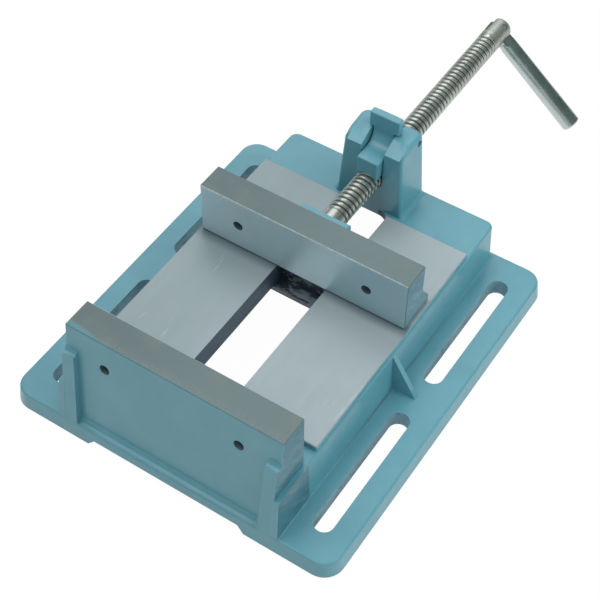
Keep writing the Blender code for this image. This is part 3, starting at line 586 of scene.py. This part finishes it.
def finished_copy(node, width=0.0):
    """A CAD node's mesh with its triangles joined into flat faces, and its long outer edges rounded."""
    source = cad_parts[node]
    shape = bmesh.new()
    shape.from_mesh(source.data)
    bmesh.ops.remove_doubles(shape, verts=shape.verts, dist=MERGE_DISTANCE)
    bmesh.ops.dissolve_limit(shape, angle_limit=FLAT_ANGLE, verts=shape.verts, edges=shape.edges)
    weight = shape.edges.layers.float.new("bevel_weight_edge")
    for edge in shape.edges:
        sharp = edge.is_convex and edge.calc_face_angle(0.0) > EDGE_ANGLE
        edge[weight] = float(sharp and edge.calc_length() > SHORTEST_EDGE_SHARE * width)
    mesh = bpy.data.meshes.new(f"{node}_looks")
    shape.to_mesh(mesh)
    shape.free()
    mesh.shade_smooth()
    mesh.set_sharp_from_angle(angle=SMOOTH_ANGLE)
    piece = bpy.data.objects.new(f"{node}_looks", mesh)
    bpy.context.scene.collection.objects.link(piece)
    if width:
        rounding = piece.modifiers.new("rounded_edges", "BEVEL")
        rounding.width = width
        rounding.segments = EDGE_SEGMENTS
        rounding.limit_method = "WEIGHT"
        rounding.harden_normals = True
    weighted = piece.modifiers.new("even_flats", "WEIGHTED_NORMAL")
    weighted.keep_sharp = True
    return piece


def face_table(mesh):
    """X, Y and Z of the centres of a mesh's faces, and those of their normals, as arrays."""
    count = len(mesh.polygons)
    centres, normals = np.zeros(count * 3), np.zeros(count * 3)
    mesh.polygons.foreach_get("center", centres)
    mesh.polygons.foreach_get("normal", normals)
    return *centres.reshape(-1, 3).T, *normals.reshape(-1, 3).T


def give_finishes(piece, finishes, names, areas):
    """Put the named finishes on a piece: the first everywhere, then one on each area, the last on top."""
    for name in names:
        piece.data.materials.append(finishes[name])
    chosen = np.zeros(len(piece.data.polygons), dtype=np.int32)
    for name, area in areas:
        chosen[area] = names.index(name)
    piece.data.polygons.foreach_set("material_index", chosen)
    piece.data.update()


def settle(piece, body, slot, *nodes):
    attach(piece, body)
    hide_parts(*nodes)


def near(values, place):
    return np.abs(values - place) < PLACE_TOLERANCE


def in_hole(x, z, normal_y):
    """Which faces are the walls of the screw holes through a jaw."""
    distance = np.hypot(np.abs(x) - JAW_HOLE_OFFSET, z - JAW_HOLE_HEIGHT)
    return (distance < JAW_HOLE_REACH) & (np.abs(normal_y) < SLOPING)


def bed_side(y, z):
    """How far the bed's side stands from the middle, which grows downwards and rounds off at the rear.

    It is t + d (h - z) / (h - f) - (c - sqrt(c c - b b)), with t the half width at the bed's top h,
    d the draft down to the flange's top f, c the corner's radius and b how far y is into the corner."""
    beyond = np.clip(y - (BED_REAR - BED_CORNER), 0.0, BED_CORNER)
    drop = BED_CORNER - np.sqrt(BED_CORNER**2 - beyond**2)
    return BED_HALF_TOP + BED_DRAFT * (BED_TOP - z) / (BED_TOP - FLANGE_TOP) - drop


def tighten_fillet(mesh):
    """Shrink the fillet between the bed's sides and the flange towards its corner, by one share."""
    flat = np.zeros(len(mesh.vertices) * 3)
    mesh.vertices.foreach_get("co", flat)
    points = flat.reshape(-1, 3)
    x, y, z = points.T
    out, rise = np.abs(x) - bed_side(y, z), z - FLANGE_TOP
    inside = (out > -FILLET_SLACK) & (out < FILLET_RADIUS + FILLET_SLACK)
    inside &= (rise > -FILLET_SLACK) & (rise < FILLET_RADIUS + FILLET_SLACK) & (y < BED_REAR)
    new_z = FLANGE_TOP + rise * FILLET_SHARE
    new_x = np.sign(x) * (bed_side(y, new_z) + out * FILLET_SHARE)
    points[inside, 0], points[inside, 2] = new_x[inside], new_z[inside]
    mesh.vertices.foreach_set("co", points.ravel())
    mesh.update()


def pad_corners(side, outer, front, height):
    """Four corners of a pad at one height, from the inner front one round by the outer ones."""
    level = [(PAD_INNER, front), (outer, front), (outer, PAD_REAR), (PAD_INNER, PAD_REAR)]
    return [(side * x, y, height) for x, y in level]


def add_pads(mesh, outer_finish):
    """Blocks joined to the bed's sides under the fixed jaw's ends, with leaning fronts and outer sides."""
    foot, top = (3, 2, 1, 0), (4, 5, 6, 7)
    front, outer, rear, inner = [(k, (k + 1) % 4, (k + 1) % 4 + 4, k + 4) for k in range(4)]
    rings = [foot, top, front, outer, rear, inner]
    shape = bmesh.new()
    shape.from_mesh(mesh)
    weight = shape.edges.layers.float["bevel_weight_edge"]
    for side in (1.0, -1.0):
        corners = pad_corners(side, PAD_FOOT_OUTER, PAD_FRONT_FOOT, PAD_FOOT)
        corners += pad_corners(side, PAD_TOP_OUTER, PAD_FRONT_TOP, PAD_TOP)
        made = [shape.verts.new(corner) for corner in corners]
        faces = [shape.faces.new([made[k] for k in ring]) for ring in rings]
        bmesh.ops.recalc_face_normals(shape, faces=faces)
        outer_face = faces[rings.index(outer)]
        outer_face.material_index = outer_finish
        for edge in outer_face.edges:
            edge[weight] = 1.0
    shape.to_mesh(mesh)
    shape.free()


def dress_base(finishes):
    piece = finished_copy("base_casting", CASTING_EDGE)
    x, y, z, normal_x, normal_y, normal_z = face_table(piece.data)
    jaw_low, jaw_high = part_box("sliding_jaw")
    face_y = jaw_low.y - JAW_OPENING
    level, upright = normal_z > FACING, np.abs(normal_z) < SLOPING
    above_ways, beside_gap = z > WAY_HEIGHT, y < GAP_REAR
    in_gap = (np.abs(x) < GAP_HALF + PLACE_TOLERANCE) & (z < WAY_HEIGHT)
    in_gap &= (z > GAP_BOTTOM - PLACE_TOLERANCE) & beside_gap
    in_slot = (np.abs(np.abs(x) - SLOT_OFFSET) < SLOT_REACH) & (z < FLANGE_TOP)
    names = ("paint", "ways", "jaw_top", "jaw_face", "gap_iron", "scuffed", "slot_wall", "hole_wall")
    give_finishes(piece, finishes, names, [
        ("ways", level & near(z, WAY_HEIGHT) & beside_gap),
        ("jaw_top", level & near(z, JAW_TOP) & (y < face_y)),
        ("jaw_face", (normal_y > FACING) & near(y, face_y) & above_ways),
        ("gap_iron", in_gap & upright),
        ("scuffed", near(np.abs(x), jaw_high.x) & (np.abs(normal_x) > END_ON) & above_ways),
        ("slot_wall", in_slot & upright),
        ("hole_wall", in_hole(x, z, normal_y)),
    ])
    tighten_fillet(piece.data)
    add_pads(piece.data, names.index("scuffed"))
    settle(piece, "base", "blue_grey_paint", "base_casting")


def dress_jaw(finishes):
    piece = finished_copy("sliding_jaw", MACHINED_EDGE)
    x, y, z, normal_x, normal_y, normal_z = face_table(piece.data)
    low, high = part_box("sliding_jaw")
    in_front, at_foot, at_top = near(y, low.y), near(z, WAY_HEIGHT), near(z, JAW_TOP)
    forward = (normal_y < -SLOPING) & in_front
    names = ("paint", "jaw_top", "jaw_face", "greasy", "scuffed", "hole_wall", "painted_highlight_edge")
    give_finishes(piece, finishes, names, [
        ("jaw_top", (normal_z > FACING) & at_top),
        ("jaw_face", (normal_y < -FACING) & in_front),
        ("greasy", (z < WAY_HEIGHT) | ((normal_z < -FACING) & at_foot)),
        ("scuffed", near(np.abs(x), high.x) & (np.abs(normal_x) > END_ON)),
        ("hole_wall", in_hole(x, z, normal_y)),
        # Painted highlight on the chamfer along the face's top edge.
        ("painted_highlight_edge", forward & (normal_z > SLOPING) & at_top),
        ("scuffed", forward & (np.abs(normal_x) > SLOPING)),
        # Painted shade: the dark greasy finish on the face's lower chamfer draws a dark line under the jaw.
        ("greasy", forward & (normal_z < -SLOPING) & at_foot),
    ])
    settle(piece, "jaw", "blue_grey_paint", "sliding_jaw")


def dress_nut(finishes):
    piece = finished_copy("half_nut")
    x, _, z, normal_x, normal_y, _ = face_table(piece.data)
    low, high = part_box("lead_screw")
    axis = (low + high) / 2
    in_groove = np.hypot(x - axis.x, z - axis.z) < NUT_GROOVE_REACH
    in_groove &= (np.abs(normal_y) < SLOPING) & (np.abs(normal_x) < SIDEWAYS)
    give_finishes(piece, finishes, ("paint", "steel"), [("steel", in_groove)])
    settle(piece, "nut", "blue_grey_paint", "half_nut")


def ridge_section():
    """The thread's ridge in section, as (place along the axis, radius), from foot over crest to foot."""
    foot = FLANK_HALF + RIDGE_SUNK * math.tan(FLANK_ANGLE)
    beside_corner = CREST_ROUND * CREST_CORNER_SPREAD
    one_side = [
        (-foot, ROOT_RADIUS - RIDGE_SUNK),
        (-FLANK_HALF, ROOT_RADIUS),
        (-CREST_HALF - beside_corner, CREST_RADIUS - CREST_ROUND),
        (-CREST_HALF + beside_corner, CREST_RADIUS - CREST_ROUND * CREST_CORNER_DROP),
        (-CREST_HALF + CREST_ROUND, CREST_RADIUS),
    ]
    return np.array(one_side + [(-along, radius) for along, radius in reversed(one_side)])


def thread_ridge(start, end, axis_x, axis_z):
    """Points and faces of the ridge: its section carried along a right-hand helix about Y.

    A point is (r sin t, s + p t / 2 pi, r cos t), with t the turn, p the pitch, and s and r the
    section's place and radius."""
    turns = (end - start) / THREAD_PITCH
    count = int(turns * THREAD_STEPS)
    turn = np.linspace(0, turns, count + 1)[:, None]
    section = ridge_section()
    radius = section[None, :, 1]
    angle = 2 * np.pi * turn
    x = axis_x + radius * np.sin(angle)
    z = axis_z + radius * np.cos(angle)
    y = start + THREAD_PITCH * turn + section[None, :, 0] + 0 * x
    points = np.stack([x, y, z], axis=2).reshape(-1, 3)
    wide = len(section)
    row, column = np.meshgrid(np.arange(count), np.arange(wide), indexing="ij")
    following = (column + 1) % wide
    corners = [row * wide + column, row * wide + following]
    corners += [(row + 1) * wide + following, (row + 1) * wide + column]
    faces = np.stack(corners, axis=2).reshape(-1, 4)
    ends = [list(range(wide))[::-1], [count * wide + k for k in range(wide)]]
    return points.tolist(), faces.tolist() + ends


def turn_down(shape, start, end, axis_x, axis_z):
    """Take a length of the screw's plain skin down to the thread's root, with a short slope at each end."""
    for place in (start, start + SHOULDER_LENGTH, end - SHOULDER_LENGTH, end):
        everything = shape.verts[:] + shape.edges[:] + shape.faces[:]
        bmesh.ops.bisect_plane(shape, geom=everything, plane_co=(0, place, 0), plane_no=(0, 1, 0))
    for vertex in shape.verts:
        if start + SHOULDER_LENGTH / 2 < vertex.co.y < end - SHOULDER_LENGTH / 2:
            radius = math.hypot(vertex.co.x - axis_x, vertex.co.z - axis_z)
            share = ROOT_RADIUS / radius
            vertex.co.x = axis_x + (vertex.co.x - axis_x) * share
            vertex.co.z = axis_z + (vertex.co.z - axis_z) * share


def round_head(mesh, head_start, dome_start, axis_x, axis_z):
    """Shade the head as a true cylinder and dome, so that its flats don't show.

    A normal is (x / r r, b / d d, z / r r) made one long, with x and z from the axis, r the head's
    radius, b how far the point is into the dome and d the dome's length."""
    normals = [Vector(corner.vector) for corner in mesh.corner_normals]
    for face in mesh.polygons:
        for loop in face.loop_indices:
            place = mesh.vertices[mesh.loops[loop].vertex_index].co
            if place.y < head_start:
                continue
            beyond = max(place.y - dome_start, 0.0)
            x, z = (place.x - axis_x) / HEAD_RADIUS**2, (place.z - axis_z) / HEAD_RADIUS**2
            true = Vector((x, beyond / DOME_LENGTH**2, z)).normalized()
            if true.dot(face.normal) > HEAD_NORMAL_MATCH:
                normals[loop] = true
    mesh.normals_split_custom_set(normals)


def dress_screw(finishes):
    """The CAD screw with its threaded length turned down to the root, and the thread's ridge on it."""
    piece = finished_copy("lead_screw")
    piece.modifiers.clear()
    mesh = piece.data
    low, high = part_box("lead_screw")
    axis_x, axis_z = (low.x + high.x) / 2, (low.z + high.z) / 2
    start = low.y + THREAD_FROM_TIP
    end = low.y + THREAD_END_FROM_TIP
    shape = bmesh.new()
    shape.from_mesh(mesh)
    turn_down(shape, start, end, axis_x, axis_z)
    points, faces = thread_ridge(start - THREAD_PITCH / 2, end + THREAD_PITCH / 2, axis_x, axis_z)
    made = [shape.verts.new(point) for point in points]
    ridge = [shape.faces.new([made[i] for i in face]) for face in faces]
    bmesh.ops.recalc_face_normals(shape, faces=ridge)
    for face in ridge:
        face.smooth = True
    shape.to_mesh(mesh)
    shape.free()
    mesh.set_sharp_from_angle(angle=SMOOTH_ANGLE)
    round_head(mesh, low.y + HEAD_FROM_TIP, high.y - DOME_SHOWN, axis_x, axis_z)
    mesh.materials.append(finishes["steel"])
    settle(piece, "screw", "turned_steel", "lead_screw")


def dress_pin(node, body, material):
    """A pin whose two flat ends are raised to low domes."""
    piece = finished_copy(node)
    shape = bmesh.new()
    shape.from_mesh(piece.data)
    ends = [face for face in shape.faces if len(face.verts) > PIN_END_SIDES]
    bmesh.ops.poke(shape, faces=ends, offset=PIN_DOME)
    shape.to_mesh(piece.data)
    shape.free()
    piece.data.shade_smooth()
    piece.data.set_sharp_from_angle(angle=SMOOTH_ANGLE)
    piece.data.materials.append(material)
    settle(piece, body, "turned_steel", node)


def dress_plain(node, body, slot, material):
    piece = finished_copy(node)
    piece.data.materials.append(material)
    settle(piece, body, slot, node)


def dress_vise(finishes):
    dress_base(finishes)
    dress_jaw(finishes)
    dress_nut(finishes)
    dress_screw(finishes)
    dress_plain("handle_bar", "handle", "zinc_plate", finishes["zinc"])
    dress_pin("handle_pin", "screw", finishes["steel"])
    dress_pin("nut_pivot_pin", "base", finishes["steel"])
    dress_plain("keeper_plate", "jaw", "dark_steel", finishes["greasy"])
    for side in ("left", "right"):
        dress_plain(f"keeper_washer_{side}", "jaw", "dark_steel", finishes["greasy"])
        dress_plain(f"keeper_bolt_{side}", "jaw", "dark_steel", finishes["greasy"])
        dress_pin(f"screw_retaining_pin_{side}", "jaw", finishes["steel"])


# Stage, light and camera


def build_floor():
    """A pale floor that keeps a faint shadow, and looks white to the camera and to shiny surfaces."""
    corners = [(-FLOOR_HALF, -FLOOR_HALF), (FLOOR_HALF, -FLOOR_HALF)]
    corners += [(FLOOR_HALF, FLOOR_HALF), (-FLOOR_HALF, FLOOR_HALF)]
    mesh = bpy.data.meshes.new("floor")
    mesh.from_pydata([(x, y, -FLOOR_DROP) for x, y in corners], [], [(0, 1, 2, 3)])
    floor = bpy.data.objects.new("floor", mesh)
    bpy.context.scene.collection.objects.link(floor)
    material, tree = new_stage_material("floor_white")
    path = tree.nodes.new("ShaderNodeLightPath").outputs
    seen = math_node(tree, "MAXIMUM", path["Is Camera Ray"], path["Is Glossy Ray"])
    lit = add_node(tree, "ShaderNodeBsdfDiffuse", Color=FLOOR_GREY).outputs[0]
    white = add_node(tree, "ShaderNodeEmission", Color=WHITE, Strength=FLOOR_GLOW).outputs[0]
    share = times(tree, seen, FLOOR_WHITE_SHARE)
    mixed = add_node(tree, "ShaderNodeMixShader", i0=share, i1=lit, i2=white).outputs[0]
    add_node(tree, "ShaderNodeOutputMaterial", Surface=mixed)
    mesh.materials.append(material)


def build_surround():
    """A surround that lights softly and looks white to the camera."""
    world = bpy.data.worlds.new("studio")
    bpy.context.scene.world = world
    world.use_nodes = True
    tree = world.node_tree
    tree.nodes.clear()
    seen = tree.nodes.new("ShaderNodeLightPath").outputs["Is Camera Ray"]
    soft = add_node(tree, "ShaderNodeBackground", Color=SKY_TINT, Strength=SKY_STRENGTH).outputs[0]
    white = add_node(tree, "ShaderNodeBackground", Color=WHITE, Strength=1.0).outputs[0]
    mixed = add_node(tree, "ShaderNodeMixShader", i0=seen, i1=soft, i2=white).outputs[0]
    add_node(tree, "ShaderNodeOutputWorld", Surface=mixed)


def add_softbox(name, place, width, height, power, colour, mirrored):
    data = bpy.data.lights.new(name, "AREA")
    data.shape = "RECTANGLE"
    data.size, data.size_y = width, height
    data.energy = power
    data.color = colour
    lamp = bpy.data.objects.new(name, data)
    lamp.location = place
    lamp.rotation_euler = (Vector(LAMP_TARGET) - Vector(place)).to_track_quat("-Z", "Y").to_euler()
    lamp.visible_glossy = mirrored
    bpy.context.scene.collection.objects.link(lamp)


def add_dark_card():
    """A dark card that only mirror-like surfaces see: an arc above the handle, its width along it.

    A point is c + r (u cos a + v sin a) + w h, with c the centre, r the radius, v the Y axis, h the
    handle's direction, u square to both, a the angle from u and w the place across the card."""
    handle = np.array([math.cos(HANDLE_SLANT), 0.0, -math.sin(HANDLE_SLANT)])
    side = np.array([0.0, 1.0, 0.0])
    up = np.cross(side, handle)
    up *= np.sign(up[2])
    angle = np.linspace(CARD_START, CARD_END, CARD_STEPS)[:, None, None]
    across = np.array([CARD_OFFSET - CARD_HALF_WIDTH, CARD_OFFSET + CARD_HALF_WIDTH])[None, :, None]
    places = CARD_CENTRE + CARD_RADIUS * (up * np.cos(angle) + side * np.sin(angle)) + across * handle
    faces = [(2 * k, 2 * k + 1, 2 * k + 3, 2 * k + 2) for k in range(CARD_STEPS - 1)]
    mesh = bpy.data.meshes.new("dark_card")
    mesh.from_pydata(places.reshape(-1, 3).tolist(), [], faces)
    card = bpy.data.objects.new("dark_card", mesh)
    bpy.context.scene.collection.objects.link(card)
    card.visible_camera = card.visible_diffuse = card.visible_shadow = card.visible_transmission = False
    material, tree = new_stage_material("card_dark_teal")
    dark = add_node(tree, "ShaderNodeEmission", Color=CARD_COLOUR, Strength=CARD_GLOW).outputs[0]
    add_node(tree, "ShaderNodeOutputMaterial", Surface=dark)
    mesh.materials.append(material)


def build_camera():
    level = math.cos(CAMERA_ELEVATION)
    sine, cosine = math.sin(CAMERA_AZIMUTH), math.cos(CAMERA_AZIMUTH)
    back = Vector((sine * level, -cosine * level, math.sin(CAMERA_ELEVATION)))
    right = Vector((cosine, sine, 0.0))
    up = back.cross(right)
    across = math.cos(CAMERA_ROLL) * right + math.sin(CAMERA_ROLL) * up
    along = math.cos(CAMERA_ROLL) * up - math.sin(CAMERA_ROLL) * right
    data = bpy.data.cameras.new("camera")
    data.sensor_fit = "HORIZONTAL"
    data.sensor_width = SENSOR_WIDTH
    data.lens = FOCAL_LENGTH
    data.clip_start = NEAR_CLIP
    camera = bpy.data.objects.new("camera", data)
    turn = Matrix((across, along, back)).transposed().to_4x4()
    camera.matrix_world = Matrix.Translation(CAMERA_PLACE) @ turn
    bpy.context.scene.collection.objects.link(camera)
    bpy.context.scene.camera = camera


def main():
    bpy.context.scene.view_settings.view_transform = "Standard"
    dress_vise(make_finishes())
    build_floor()
    build_surround()
    for name, values in SOFTBOXES.items():
        add_softbox(name, *values)
    add_dark_card()
    build_camera()


main()
